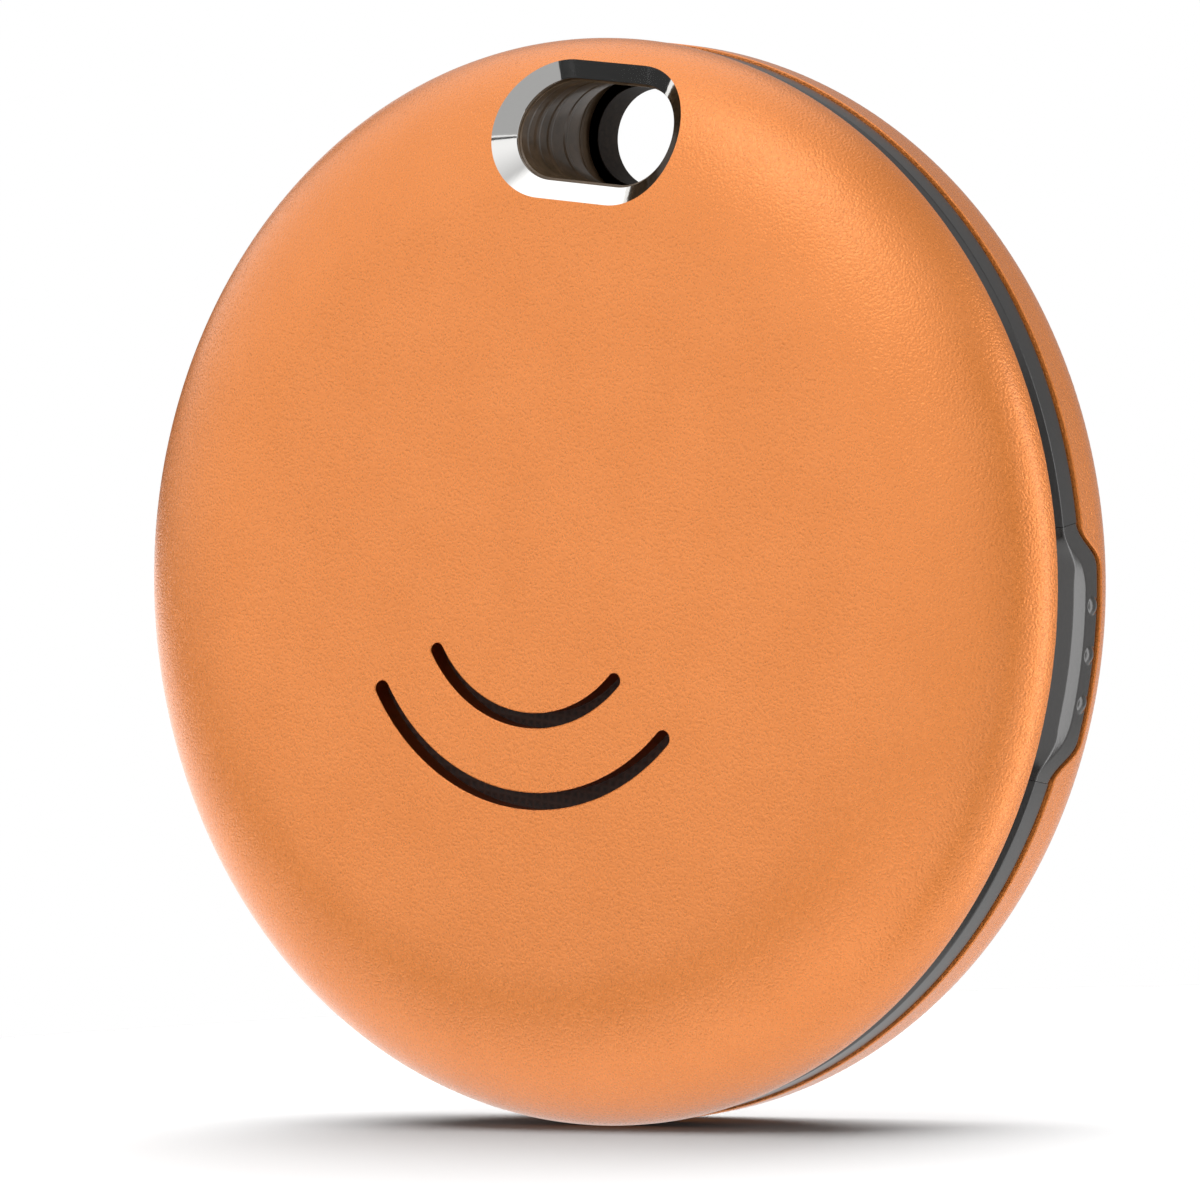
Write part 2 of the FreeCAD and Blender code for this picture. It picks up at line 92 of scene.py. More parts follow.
def key_outline():
    """Key hole: a half circle of directions at each end of a straight line, joined by the sides."""
    bend = np.linspace(-np.pi / 2, np.pi / 2, 61)
    end = np.column_stack([np.cos(bend), np.sin(bend)])
    side = np.tile([0.0, 1.0], (19, 1))
    along = np.linspace(1, -1, 21)[1:-1]
    base = np.concatenate([np.ones(61), along, -np.ones(61), -along]) * key_half
    base = np.column_stack([base, np.full(len(base), key_z)])
    return base, np.concatenate([end, side, -end, -side])


def slot_outline(radius):
    """Arc slot open upwards: outer arc, round end, inner arc backwards, round end."""
    sweep = np.radians(np.linspace(-143, -37, 97))
    cap = np.linspace(0, np.pi, 17)[1:-1]
    angles = np.concatenate([sweep, np.full(15, sweep[-1]), sweep[::-1], np.full(15, sweep[0])])
    facing = np.concatenate([sweep, sweep[-1] + cap, sweep[::-1] + np.pi, sweep[0] + np.pi + cap])
    base = radius * np.column_stack([np.cos(angles), np.sin(angles)])
    return base, np.column_stack([np.cos(facing), np.sin(facing)])


def grown(outline, distance):
    """The closed loop that lies a distance outside an outline's centre line."""
    return outline[0] + distance * outline[1]


def circle(radius, angles):
    """Points on a circle, whose radius may differ from angle to angle."""
    return np.column_stack([radius * np.cos(angles), radius * np.sin(angles)])


def rolled(flat, width, depth, level, side):
    """A turned face and its flat pattern. The face is level out to the radius flat, follows a
    quarter ellipse (width outwards, depth along Y) and goes on as a cylinder. On the pattern,
    distance from the middle is radius, then ellipse angle times mean radius, then depth."""
    arc = (width + depth) * np.pi / 4

    def lift(pattern):
        """Points and outward normals on the face for points of the pattern."""
        reach = np.hypot(*pattern.T)
        turn = np.clip((reach - flat) / arc, 0, 1) * np.pi / 2
        radius = np.minimum(reach, flat) + width * np.sin(turn)
        y = level + side * (depth * (1 - np.cos(turn)) + np.maximum(reach - flat - arc, 0))
        way = pattern / np.maximum(reach, 1e-9)[:, None]
        out, along = np.sin(turn) / width, -side * np.cos(turn) / depth
        size = np.hypot(out, along)
        points = np.column_stack([radius * way[:, 0], y, radius * way[:, 1]])
        return points, np.column_stack([out * way[:, 0], along, out * way[:, 1]]) / size[:, None]

    def flatten(plane):
        """Pattern points for points given by x and z."""
        radius = np.hypot(*plane.T)
        past = np.clip((radius - flat) / width, 0, 1)
        reach = np.minimum(radius, flat) + arc * np.arcsin(past) * 2 / np.pi
        return plane * (reach / np.maximum(radius, 1e-9))[:, None]

    return lift, flatten, flat + arc


def in_loop(points, loop):
    """True for points inside a closed loop, by counting crossings to the right of each."""
    a, b = loop, np.roll(loop, -1, 0)
    x, z = points[:, :1], points[:, 1:]
    across = (a[:, 1] > z) != (b[:, 1] > z)
    rise = np.where(a[:, 1] == b[:, 1], 1, b[:, 1] - a[:, 1])
    return (across & (x < a[:, 0] + (z - a[:, 1]) * (b[:, 0] - a[:, 0]) / rise)).sum(1) % 2 == 1


def level_rings(radii, per_mm):
    """Rings as (radius, number of points), with that many points for each mm of radius."""
    return [(r, max(int(r * per_mm), 6)) for r in radii]


def face_patch(lift, edge, holes, kept_clear, rings, slot, outward):
    """A lifted face: Delaunay triangles over the pattern through its loops and rings of points."""
    spread = np.concatenate([circle(radius, (np.arange(count) + 0.5 * (row % 2)) * 2 * np.pi / count)
                             for row, (radius, count) in enumerate(rings)])
    spread = spread[in_loop(spread, edge * ring_share)]
    for loop in kept_clear:
        spread = spread[~in_loop(spread, loop)]
    loops = [edge, *holes]
    points = np.concatenate([*loops, spread])
    ends = np.cumsum([0] + [len(loop) for loop in loops])
    runs = [np.arange(a, b) for a, b in zip(ends, ends[1:])]
    joins = np.concatenate([np.column_stack([run, np.roll(run, -1)]) for run in runs])
    made = delaunay_2d_cdt(points.tolist(), joins.tolist(), [], 0, 1e-9, True)
    triangles = np.array([origin[0] for origin in made[3]])[np.array(made[2])]
    middle = points[triangles].mean(1)
    keep = in_loop(middle, edge)
    for loop in holes:
        keep &= ~in_loop(middle, loop)
    places, normals = lift(points)
    return places, triangles[keep], normals * outward, slot


def wall_patch(rows, slot, outward):
    """Quads through loops of equal length. A normal is the cross product of the step round the
    loop and the step from loop to loop."""
    grid = np.stack(rows)
    around = np.roll(grid, -1, 1) - np.roll(grid, 1, 1)
    normals = np.cross(around, np.gradient(grid, axis=0)) * outward
    normals /= np.maximum(np.linalg.norm(normals, axis=2, keepdims=True), 1e-12)
    index = np.arange(grid.shape[0] * grid.shape[1]).reshape(grid.shape[:2])
    near, far = index[:-1], index[1:]
    quads = np.stack([near, np.roll(near, -1, 1), np.roll(far, -1, 1), far], -1)
    return grid.reshape(-1, 3), quads.reshape(-1, 4), normals.reshape(-1, 3), slot


def build_piece(name, patches, finishes, body, nodes):
    """One closed mesh from patches that share their border points, in millimetres. A face is
    turned round where it looks away from its patch's normals, which stay as its corner normals."""
    points = np.concatenate([patch[0] for patch in patches])
    normals = np.concatenate([patch[2] for patch in patches])
    keys = np.round(points / 1e-5).astype(np.int64)
    first, index = np.unique(keys, axis=0, return_index=True, return_inverse=True)[1:]
    index = index.ravel()
    start, faces, slots, corner_normals = 0, [], [], []
    for places, corners, facing, slot in patches:
        spots = places[corners]
        cross = np.cross(spots[:, 1] - spots[:, 0], spots[:, -1] - spots[:, 0])
        away = (cross * facing[corners].mean(1)).sum(1) < 0
        corners = np.where(away[:, None], corners[:, ::-1], corners) + start
        faces += index[corners].tolist()
        slots += [slot] * len(corners)
        corner_normals.append(normals[corners].reshape(-1, 3))
        start += len(places)
    mesh = bpy.data.meshes.new(name)
    mesh.from_pydata(points[first] * 0.001, [], faces)
    mesh.polygons.foreach_set("material_index", slots)
    mesh.polygons.foreach_set("use_smooth", [True] * len(faces))
    mesh.normals_split_custom_set(np.concatenate(corner_normals).tolist())
    for finish in finishes:
        mesh.materials.append(finish)
    piece = bpy.data.objects.new(name, mesh)
    bpy.context.collection.objects.link(piece)
    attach(piece, body)
    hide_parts(*nodes)


# Anodised aluminium, bead blasted: a satin metal whose dyed oxide skin is clear on top. The
# blasting pits are near 0.05 mm and are drawn at 0.07 mm, so that the grain shows.
anodised, shader, place = new_finish("aluminium_bead_blasted_orange_anodised", "#E6873A", 0.45, 0.3)
pits = add_node(anodised, "ShaderNodeTexNoise", {"Scale": 15000.0, "Detail": 1.0, "Roughness": 0.5},
                {"Vector": place})
cloud = add_node(anodised, "ShaderNodeTexNoise", {"Scale": 380.0, "Detail": 2.0}, {"Vector": place})
tone = add_node(anodised, "ShaderNodeValToRGB", links={"Fac": cloud.outputs["Fac"]})
tone.color_ramp.elements[0].position, tone.color_ramp.elements[1].position = 0.3, 0.7
tone.color_ramp.elements[0].color = to_linear("#E4853A")
tone.color_ramp.elements[1].color = to_linear("#E8893F")
speck = add_node(anodised, "ShaderNodeMapRange", {"From Min": 0.3, "From Max": 0.7, "To Min": 0.25,
                                                  "To Max": 0.34}, {"Value": pits.outputs["Fac"]})
dents = add_node(anodised, "ShaderNodeBump", {"Strength": 0.8, "Distance": 0.00003},
                 {"Height": pits.outputs["Fac"]})
anodised.node_tree.links.new(tone.outputs["Color"], shader.inputs["Base Color"])
anodised.node_tree.links.new(speck.outputs["Result"], shader.inputs["Roughness"])
anodised.node_tree.links.new(dents.outputs["Normal"], shader.inputs["Normal"])
shader.inputs["Coat Weight"].default_value = 0.4
shader.inputs["Coat Roughness"].default_value = 0.27

# Aluminium punched through at the sound slots and dyed with the face, but not blasted: orange
# metal that mirrors the dark mesh behind it. Its score marks are drawn at 0.1 mm so that they show.
punched, shader, place = new_finish("aluminium_punched_orange_anodised", "#D9742C", 1.0, 0.3)
score = add_node(punched, "ShaderNodeTexNoise", {"Scale": 9000.0, "Detail": 2.0}, {"Vector": place})
score_bump = add_node(punched, "ShaderNodeBump", {"Strength": 0.4, "Distance": 0.00001},
                      {"Height": score.outputs["Fac"]})
punched.node_tree.links.new(score_bump.outputs["Normal"], shader.inputs["Normal"])

# Aluminium cut bright with a diamond tool: a mirror with faint feed lines across the cut, about
# 0.02 mm apart, drawn at 0.1 mm.
bright_cut, shader, place = new_finish("aluminium_diamond_cut_chamfer", "#F2F1EF", 1.0, 0.06)
turned = add_node(bright_cut, "ShaderNodeMapping", {"Rotation": (0.0, 0.9, 0.0),
                                                    "Scale": (9000.0, 500.0, 900.0)}, {"Vector": place})
feed = add_node(bright_cut, "ShaderNodeTexNoise", {"Scale": 1.0, "Detail": 2.0},
                {"Vector": turned.outputs["Vector"]})
lines = add_node(bright_cut, "ShaderNodeBump", {"Strength": 0.1, "Distance": 0.00001},
                 {"Height": feed.outputs["Fac"]})
bright_cut.node_tree.links.new(lines.outputs["Normal"], shader.inputs["Normal"])

outer_lift, outer_flatten, outer_end = rolled(face_flat, face_rim - face_flat, face_edge - face_y,
                                              face_y, 1)
inner_lift, inner_flatten, inner_end = rolled(face_flat, face_rim - face_wall - face_flat,
                                              face_edge - face_y - face_wall, face_y + face_wall, 1)
rim_angles = np.linspace(0, 2 * np.pi, 361)[:-1]
key_line = key_outline()
slot_lines = [(slot_outline(radius), width / 2) for radius, width in slot_sizes]


def round_points(radius, y, angles):
    """A loop in space at one radius and height along Y."""
    radius, y = np.broadcast_arrays(radius, y, angles)[:2]
    return np.column_stack([radius * np.cos(angles), y, radius * np.sin(angles)])


def upright(plane, y):
    """A loop in space from x and z, at the given y."""
    return np.column_stack([plane[:, 0], np.broadcast_to(y, len(plane)), plane[:, 1]])


def face_shell():
    """Outer face, inner face, and the strips that join them at the rim, slots and key hole."""
    last = outer_end * rim_share
    outer_rim, inner_rim = circle(last, rim_angles), circle(inner_end * rim_share, rim_angles)
    key_outer = outer_flatten(grown(key_line, key_radius + key_chamfer))
    key_inner = inner_flatten(grown(key_line, key_radius))
    outer_slots = [grown(line, half + edge_break) for line, half in slot_lines]
    inner_slots = [grown(line, half) for line, half in slot_lines]
    key_clear = outer_flatten(grown(key_line, key_radius + key_chamfer + key_margin))
    slot_clear = [grown(line, half + hole_margin) for line, half in slot_lines]
    bend_rings = [(r, 360) for r in np.linspace(face_flat, last, 30)[:-1]]
    flat_rings = level_rings(np.linspace(0.5, face_flat - 0.5, 16), 16)
    patches = [
        face_patch(outer_lift, outer_rim, [key_outer, *outer_slots], [key_clear, *slot_clear],
                   flat_rings + bend_rings, 0, 1),
        face_patch(inner_lift, inner_rim, [key_inner, *inner_slots],
                   [inner_flatten(grown(key_line, key_radius + hole_margin)), *slot_clear],
                   level_rings(np.linspace(0.8, inner_end - 0.4, 20), 10), 0, -1),
    ]
    key_top = outer_lift(key_outer)[0]
    key_foot = inner_lift(key_inner)[0]
    throat = outer_lift(outer_flatten(grown(key_line, key_radius)))[0] + [0, key_chamfer, 0]
    throat[:, 1] = np.minimum(throat[:, 1], key_foot[:, 1] - key_foot_gap)
    patches.append(wall_patch([key_top, key_top * 0.5 + throat * 0.5, throat], 1, 1))
    patches.append(wall_patch([throat, key_foot], 1, 1))
    for line, half in slot_lines:
        top = upright(grown(line, half + edge_break), face_y)
        lip = upright(grown(line, half), face_y + edge_break)
        foot = upright(grown(line, half), face_y + face_wall)
        patches += [wall_patch([top, lip], 0, 1), wall_patch([lip, foot], 2, 1)]
    steps = [outer_lift(outer_rim)[0],
             round_points(face_rim - edge_break, face_edge, rim_angles),
             round_points(face_rim - face_wall + edge_break, face_edge, rim_angles),
             inner_lift(inner_rim)[0]]
    patches += [wall_patch(pair, 0, -1) for pair in zip(steps, steps[1:])]
    return patches


build_piece("face_shell", face_shell(), [anodised, bright_cut, punched], "root", ["front_shell"])

# ---------------------------------------------------------------- sound slot mesh and sounder
# Behind the arc slots lies a dark woven polyester mesh, then a foam ring, and the sounder: a
# brass plate with a disc of piezo ceramic, held in a moulded ring and fed by two bent leaves.


def coat(finish, *nodes):
    """Gives one finish to every material slot of the named CAD nodes."""
    for node in nodes:
        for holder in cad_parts[node].material_slots:
            holder.material = finish


def speckled(name, low, high, metallic, roughness, grain, depth, stretch=(1.0, 1.0, 1.0)):
    """A finish whose colour drifts between two hex colours and whose bump has a grain in
    millimetres and a depth in millimetres; stretch draws the grain out along an axis."""
    finish, shader, place = new_finish(name, low, metallic, roughness)
    drawn = add_node(finish, "ShaderNodeMapping", {"Scale": [1000 * s / grain for s in stretch]},
                     {"Vector": place})
    noise = add_node(finish, "ShaderNodeTexNoise", {"Scale": 1.0, "Detail": 3.0, "Roughness": 0.6},
                     {"Vector": drawn.outputs["Vector"]})
    tone = add_node(finish, "ShaderNodeValToRGB", links={"Fac": noise.outputs["Fac"]})
    tone.color_ramp.elements[0].position, tone.color_ramp.elements[1].position = 0.35, 0.65
    for stop, colour in zip(tone.color_ramp.elements, (low, high)):
        stop.color = to_linear(colour)
    bump = add_node(finish, "ShaderNodeBump", {"Strength": 0.6, "Distance": depth * 0.001},
                    {"Height": noise.outputs["Fac"]})
    finish.node_tree.links.new(tone.outputs["Color"], shader.inputs["Base Color"])
    finish.node_tree.links.new(bump.outputs["Normal"], shader.inputs["Normal"])
    return finish


# Woven polyester: a dull dark net. Its threads are near 0.1 mm apart and are drawn at 0.24 mm, as
# two sets of waves, so that they show.
weave, shader, place = new_finish("polyester_mesh_woven_black", "#1C1613", 0.0, 0.7)
threads = [add_node(weave, "ShaderNodeTexWave", {"bands_direction": way, "Scale": 1300.0, "Distortion": 0.4},
                    {"Vector": place}).outputs["Fac"] for way in ("X", "Z")]
crossing = add_node(weave, "ShaderNodeMath", {"operation": "MAXIMUM"}, {0: threads[0], 1: threads[1]})
thread_tone = add_node(weave, "ShaderNodeValToRGB", links={"Fac": crossing.outputs[0]})
thread_tone.color_ramp.elements[0].color = to_linear("#050302")
thread_tone.color_ramp.elements[1].color = to_linear("#24160E")
weave.node_tree.links.new(thread_tone.outputs["Color"], shader.inputs["Base Color"])
knit = add_node(weave, "ShaderNodeBump", {"Strength": 0.6, "Distance": 0.00003},
                {"Height": crossing.outputs[0]})
weave.node_tree.links.new(knit.outputs["Normal"], shader.inputs["Normal"])
coat(weave, "slot_mesh")
# Closed-cell foam: a dead matt black skin, dimpled by its cells.
coat(speckled("polyurethane_foam_closed_cell_black", "#151515", "#2A2A2A", 0.0, 0.9, 0.12, 0.03),
     "sounder_foam")
# Rolled brass: warm yellow satin with rolling marks along Z.
coat(speckled("brass_rolled", "#C9A558", "#D9B86C", 1.0, 0.3, 0.08, 0.002, (1, 1, 0.05)), "sounder_plate")
# Piezo ceramic under fired silver: pale and dull with a hint of metal.
coat(speckled("piezo_ceramic_silvered", "#C9C5B8", "#DAD7CC", 0.3, 0.45, 0.05, 0.004), "sounder_ceramic")
# Moulded ABS: even black, satin, with the mould's fine texture.
coat(speckled("abs_moulded_black", "#1B1B1C", "#242425", 0.0, 0.5, 0.08, 0.006), "sounder_holder")
# Spring bronze under nickel: warm silver with the strip's rolling marks along Z.
nickel_bronze = speckled("spring_bronze_stamped_nickel_plated", "#C8BFA0", "#D8D0B6", 1.0, 0.28, 0.06,
                         0.002, (1, 1, 0.1))
coat(nickel_bronze, "sounder_contacts")

# ---------------------------------------------------------------- key hole sleeve
# A liner that stops the key ring from wearing the shells: smoke-brown polycarbonate, injection
# moulded with shallow ribs round it, snapped in between the two shells. At its back, on the
# left, a pocket is left for prying the back shell off.
sleeve_front_radius, sleeve_outer = 1.35, 1.83
sleeve_rear = 1000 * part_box("key_sleeve")[1].y
face_gap = 0.02
pocket_depth = 0.27
lip_inner, lip_outer, lip_inset = 1.38, 1.405, 0.26
lip_rear = 1000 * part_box("back_shell")[1].y - lip_inset
sleeve_rows = ((0, 1.35, 0), (0.07, 1.35, 0), (0.1, 1.375, 0), (0.16, 1.375, 0), (0.19, 1.36, 0),
               (0.22, 1.36, 0), (0.25, 1.39, 0), (0.33, 1.39, 0), (0.35, 1.375, 0), (0.38, 1.375, 0),
               (0.41, 1.41, 0), (0.55, 1.41, 0), (0.57, 1.395, 0), (0.6, 1.395, 0), (0.62, 1.43, 0),
               (0.74, 1.43, 0), (0.76, 1.43, 1), (0.87, 1.43, 1), (0.88, 1.41, 1), (0.9, 1.41, 1),
               (0.91, 1.43, 1), (1, 1.43, 1))

# Smoke-brown polycarbonate: dark and see-through when thin, drawn here as a solid brown with a
# thin gloss and cloudy patches near 0.6 mm wide.
smoke = speckled("polycarbonate_moulded_smoke_brown", "#54432F", "#69543F", 0.0, 0.36, 0.6, 0.006)
smoke.node_tree.nodes["Principled BSDF"].inputs["Coat Weight"].default_value = 0.25
smoke.node_tree.nodes["Principled BSDF"].inputs["Coat Roughness"].default_value = 0.12


def key_sleeve():
    """Loops through the bore and round the outside. A row gives the share of the bore's length,
    its radius, and whether the pocket is open there, on the left. The front end follows the inside
    of the face, and a thin lip lines the back shell."""
    leftmost = key_line[0][:, 0] < -key_half + 1e-6
    pocket = pocket_depth * np.where(leftmost, np.clip(-4 * key_line[1][:, 0], 0, 1), 0)
    front, outside = (inner_lift(inner_flatten(grown(key_line, radius)))[0][:, 1] + face_gap
                      for radius in (sleeve_front_radius, sleeve_outer))
    bore = [upright(grown(key_line, (radius + pocket * open_here)[:, None]),
                    front + (sleeve_rear - front) * share) for share, radius, open_here in sleeve_rows]
    lip = [upright(grown(key_line, radius), y) for radius, y in
           ((lip_inner, sleeve_rear), (lip_inner, lip_rear), (lip_outer, lip_rear), (lip_outer, sleeve_rear))]
    skin = [upright(grown(key_line, sleeve_outer), y) for y in (sleeve_rear, outside)]
    rows = [*bore, *lip, *skin, bore[0]]
    lip_rows = range(len(bore) - 1, len(bore) + len(lip) - 1)
    # Slot 1 gives the lip's rows the darker finish, whose colour paints the shade at the back of the key
    # hole.
    return [wall_patch(pair, int(row in lip_rows), 1) for row, pair in enumerate(zip(rows, rows[1:]))]


# Smoke-brown polycarbonate textured in the mould and matt, in a nearly black copy of the sleeve's colour:
# painted shade for the lip at the back of the key hole.
shaded_lip = speckled("polycarbonate_smoke_brown_painted_shade", "#1E1712", "#2A211A", 0.0, 0.75, 0.15, 0.006)
shaded_lip.node_tree.nodes["Principled BSDF"].inputs["Specular IOR Level"].default_value = 0.2
build_piece("key_tunnel", key_sleeve(), [smoke, shaded_lip], "root", ["key_sleeve"])

# ---------------------------------------------------------------- chassis, adhesives and gasket
# The chassis is a black ring and floor of glass-filled nylon that carries the board on its front
# and the coin cell on its back. Adhesive holds it in the face; a silicone ring seals the back.

# Glass-filled nylon: near black and dull, with a slightly rough skin.
coat(speckled("nylon_glass_filled_moulded_black", "#1D1E20", "#2B2C2E", 0.0, 0.55, 0.15, 0.012), "chassis")
# Acrylic adhesive film: pale straw, smooth and barely glossy.
coat(speckled("acrylic_adhesive_film", "#C6BFA8", "#D4CDB9", 0.0, 0.35, 0.4, 0.006), "front_adhesive",
     "back_adhesive")
# Moulded silicone: mid grey with a soft even sheen.
coat(speckled("silicone_moulded_grey", "#7A7C80", "#868890", 0.0, 0.45, 0.2, 0.006), "back_gasket")

# ---------------------------------------------------------------- circuit board and its parts
# A glass-epoxy board under green solder mask, held by three plated screws, with the radio chip,
# its crystal and antenna, an inductor and rows of small ceramic parts on its front.

# Solder mask over glass epoxy: dark green gloss, uneven over the weave below it.
coat(speckled("glass_epoxy_green_solder_mask", "#0F4A2C", "#145A36", 0.0, 0.3, 0.25, 0.006), "circuit_board")
# Turned steel under nickel: bright silver with fine tool marks.
coat(speckled("steel_turned_nickel_plated", "#B9B9BC", "#CFCFD2", 1.0, 0.25, 0.05, 0.002), "board_screws")
# Moulded epoxy: dull black with a fine grain.
coat(speckled("epoxy_moulded_black", "#161616", "#222222", 0.0, 0.5, 0.06, 0.006), "bluetooth_chip")
# Plated metal lid: pale, slightly warm silver, nearly polished.
coat(speckled("metal_lid_nickel_plated", "#D8D4C4", "#E6E2D4", 1.0, 0.25, 0.1, 0.002), "crystal")
# Fired ceramic: off-white and smooth.
coat(speckled("ceramic_fired_white", "#D6D3CB", "#E4E1DA", 0.0, 0.4, 0.1, 0.004), "chip_antenna")
# Pressed ferrite: dark grey, dull and a little gritty.
coat(speckled("ferrite_pressed_dark_grey", "#2E2E30", "#3D3D40", 0.1, 0.6, 0.08, 0.01), "boost_inductor")
# Fired capacitor ceramic: plain tan with a faint sheen.
coat(speckled("ceramic_fired_tan", "#A98B66", "#BBA07C", 0.0, 0.45, 0.1, 0.004), "chip_passives")

# ---------------------------------------------------------------- side switch and battery contacts
# A nylon push switch with an acetal plunger stands on the board's edge behind the side button.
# Two spring contacts stamped from plated bronze touch the coin cell from below and beside it.

# Moulded nylon: black satin.
coat(speckled("nylon_moulded_black", "#1A1A1A", "#262626", 0.0, 0.5, 0.08, 0.006), "side_switch")
# Moulded acetal: ivory and waxy.
coat(speckled("acetal_moulded_ivory", "#CFC8B4", "#DDD7C6", 0.0, 0.4, 0.1, 0.004), "switch_plunger")
coat(nickel_bronze, "battery_negative_contact", "battery_positive_contact")

# ---------------------------------------------------------------- coin cell
# A lithium coin cell: a drawn can of nickel-plated stainless steel, brushed across its flat
# face, crimped over a black nylon ring that holds the smaller cap.

# Brushed stainless steel: bright silver, its brush lines along Z.
coat(speckled("stainless_steel_brushed_nickel_plated", "#C4C5C8", "#D6D7DA", 1.0, 0.24, 0.05, 0.003,
              (1, 1, 0.02)), "coin_cell_can", "coin_cell_cap")
# Nylon seal: black satin with a faint moulded grain.
coat(speckled("nylon_seal_black", "#1C1C1E", "#29292B", 0.0, 0.45, 0.1, 0.006), "coin_cell_seal")
# Pressed manganese dioxide powder: dead matt, brownish black and grainy.
coat(speckled("manganese_dioxide_pressed", "#242222", "#343030", 0.0, 0.8, 0.08, 0.02), "coin_cell_core")

# ---------------------------------------------------------------- side band
# A dark ring between the two shells, moulded in soft-touch rubber over the chassis. Its front
# corner is chamfered, which leaves a groove behind the face, and it stops short of the button.
band_front, band_rear = (1000 * corner.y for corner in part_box("side_band"))
band_outer = 14.92
band_seat = 13.86
band_corner = 0.5
band_rear_corner = 0.08
band_softening = 0.03
button_wide, button_foot, button_narrow, joint_line = 3.48, 3.28, 2.28, 0.012

# Soft-touch rubber: near black and smooth, with a broad soft sheen and the mould's 0.1 mm grain.
rubber = speckled("rubber_soft_touch_moulded_dark_grey", "#1F1E1D", "#252423", 0.0, 0.28, 0.1, 0.004)
rubber.node_tree.nodes["Principled BSDF"].inputs["Specular IOR Level"].default_value = 0.85


def softened(corners, cut):
    """Rounds each corner of closed sections with a short curve through (start, pulled-in corner,
    end), where start and end lie up to cut along its two sides."""
    def toward(target):
        way = target - corners
        size = np.linalg.norm(way, axis=-1, keepdims=True)
        return corners + way / size * np.minimum(cut, 0.4 * size)
    start, end = toward(np.roll(corners, 1, 0)), toward(np.roll(corners, -1, 0))
    rounded = np.stack([start, (start + end) / 4 + corners / 2, end], 1)
    return rounded.reshape(-1, *corners.shape[1:])


def button_side(y):
    """Half the button's length at a height along Y, in front of its curved ends."""
    share = np.clip((y - band_front) / (band_rear - band_front), 0, 1)
    return button_foot + (button_wide - button_foot) * share


def end_patch(loop, outward, slot):
    """One flat polygon over the end of a swept section."""
    return loop, np.arange(len(loop))[None], np.tile(outward, (len(loop), 1)), slot


def rim_band():
    """The section carried round the axis, from one side of the button to the other. Both ends
    slope as the button's sides do: end angle = asin(half length / radius)."""
    section = softened(np.array([(band_seat, band_front), (band_outer - band_corner, band_front),
                                 (band_outer, band_front + band_corner),
                                 (band_outer, band_rear - band_rear_corner),
                                 (band_outer - band_rear_corner, band_rear), (band_seat, band_rear)]),
                       band_softening)
    radius, y = section.T
    start = np.arcsin((button_side(y) + joint_line) / radius)
    share = np.linspace(0, 1, 361)[:, None]
    angle = start + (2 * np.pi - 2 * start) * share
    grid = np.stack([radius * np.cos(angle), np.broadcast_to(y, angle.shape), radius * np.sin(angle)], -1)
    return [wall_patch(grid, 0, 1), end_patch(grid[0], (0, 0, -1.0), 0), end_patch(grid[-1], (0, 0, 1.0), 0)]


build_piece("rim_band", rim_band(), [rubber], "root", ["side_band"])

# ---------------------------------------------------------------- side button
# The press pad is moulded in the same rubber as the band and carries on its shape at both ends.
# In the middle its front chamfer widens, a bevel follows, and the pad reaches back over the
# back shell, with three small bumps to feel. A black nylon stem carries it to the switch.
button_rear = 1000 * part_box("side_button")[1].y
pad_seat = 14.05
pad_rear_corner = 0.1
pad_softening = 0.045
pad_curve = 0.55
bevel_rise, bevel_gain, bevel_width, bevel_fade = 0.13, 0.06, 0.38, (1.7, 3.2)
chamfer_in, chamfer_back, chamfer_fade = 0.3, 0.62, (2.2, 3.4)
bump_radius, bump_height, bump_pitch = 0.26, 0.075, 1.31

# The same rubber from a smoother mould: a little glossier, so that the bevel catches the light.
pad_rubber = speckled("rubber_soft_touch_moulded_pad", "#252322", "#2B2927", 0.0, 0.2, 0.1, 0.003)
pad_rubber.node_tree.nodes["Principled BSDF"].inputs["Specular IOR Level"].default_value = 0.85


def eased(value, low, high):
    """0 below low, 1 above high, and a smooth S between, 3t^2 - 2t^3."""
    t = np.clip((value - low) / (high - low), 0, 1)
    return t * t * (3 - 2 * t)


def pad_rear(z, gap=0.0):
    """y of the pad's rear edge: level in the middle, and at each end a cubic Bezier curve down to
    the band."""
    t = np.linspace(0, 1, 200)
    wide, narrow, rear = button_wide + gap, button_narrow + gap, button_rear + gap
    weights = ((1 - t) ** 3, 3 * t * (1 - t) ** 2, 3 * t * t * (1 - t), t ** 3)
    across = sum(w * k for w, k in zip(weights, (wide, wide - pad_curve, narrow + pad_curve, narrow)))
    along = sum(w * k for w, k in zip(weights, (band_rear, band_rear + 0.1, rear, rear)))
    return np.interp(np.abs(z), across[::-1], along[::-1])


